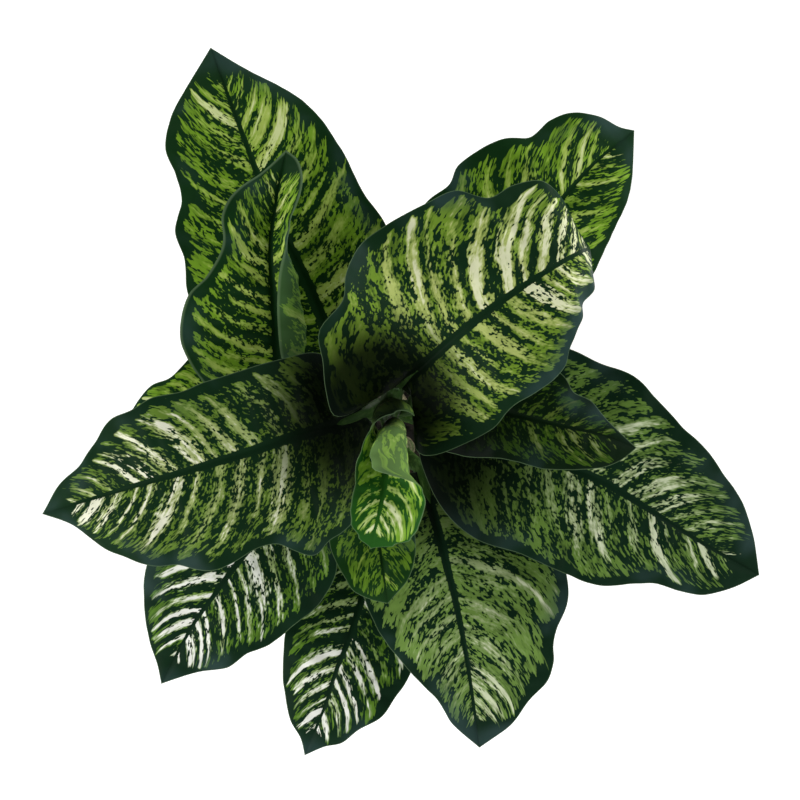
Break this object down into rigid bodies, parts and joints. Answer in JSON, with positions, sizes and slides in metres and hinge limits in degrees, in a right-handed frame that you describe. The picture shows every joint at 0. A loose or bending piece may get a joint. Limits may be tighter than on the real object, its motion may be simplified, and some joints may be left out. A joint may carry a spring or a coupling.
{
  "type": "potted dieffenbachia",
  "caption": "Broad-leaved foliage houseplant: waved, pointed, cream-streaked leaves fanning out round short ringed canes in a plain round flowerpot of soil.",
  "frame": {"origin": "middle of the pot's underside, on the surface it stands on", "axes": "+Z up along the pot's axis, +X to the plant's right and +Y to its back; seen straight from above with +Y up, the plant lies as in its reference view"},
  "size_m": [0.5395, 0.5335, 0.5234],
  "materials": {
    "terracotta": "matte",
    "potting_soil": "rough and crumbly",
    "cane_bark": "satin, with ring scars",
    "variegated_leaf": "glossy, cream and green streaks with a dark green margin and midrib"
  },
  "bodies": {
    "root": {"pot": "terracotta", "soil": "potting_soil", "cane_main": "cane_bark", "cane_front": "cane_bark", "leaf_unfurling": "variegated_leaf", "leaf_crown_right": "variegated_leaf", "leaf_crown_left": "variegated_leaf", "leaf_back_left_curled": "variegated_leaf", "leaf_back_left": "variegated_leaf", "leaf_back_right": "variegated_leaf", "leaf_right_small": "variegated_leaf", "leaf_right_broad": "variegated_leaf", "leaf_left_under": "variegated_leaf", "leaf_front_young": "variegated_leaf", "leaf_front_left": "variegated_leaf", "leaf_front_right": "variegated_leaf", "leaf_front_small": "variegated_leaf"}
  },
  "joints": []
}
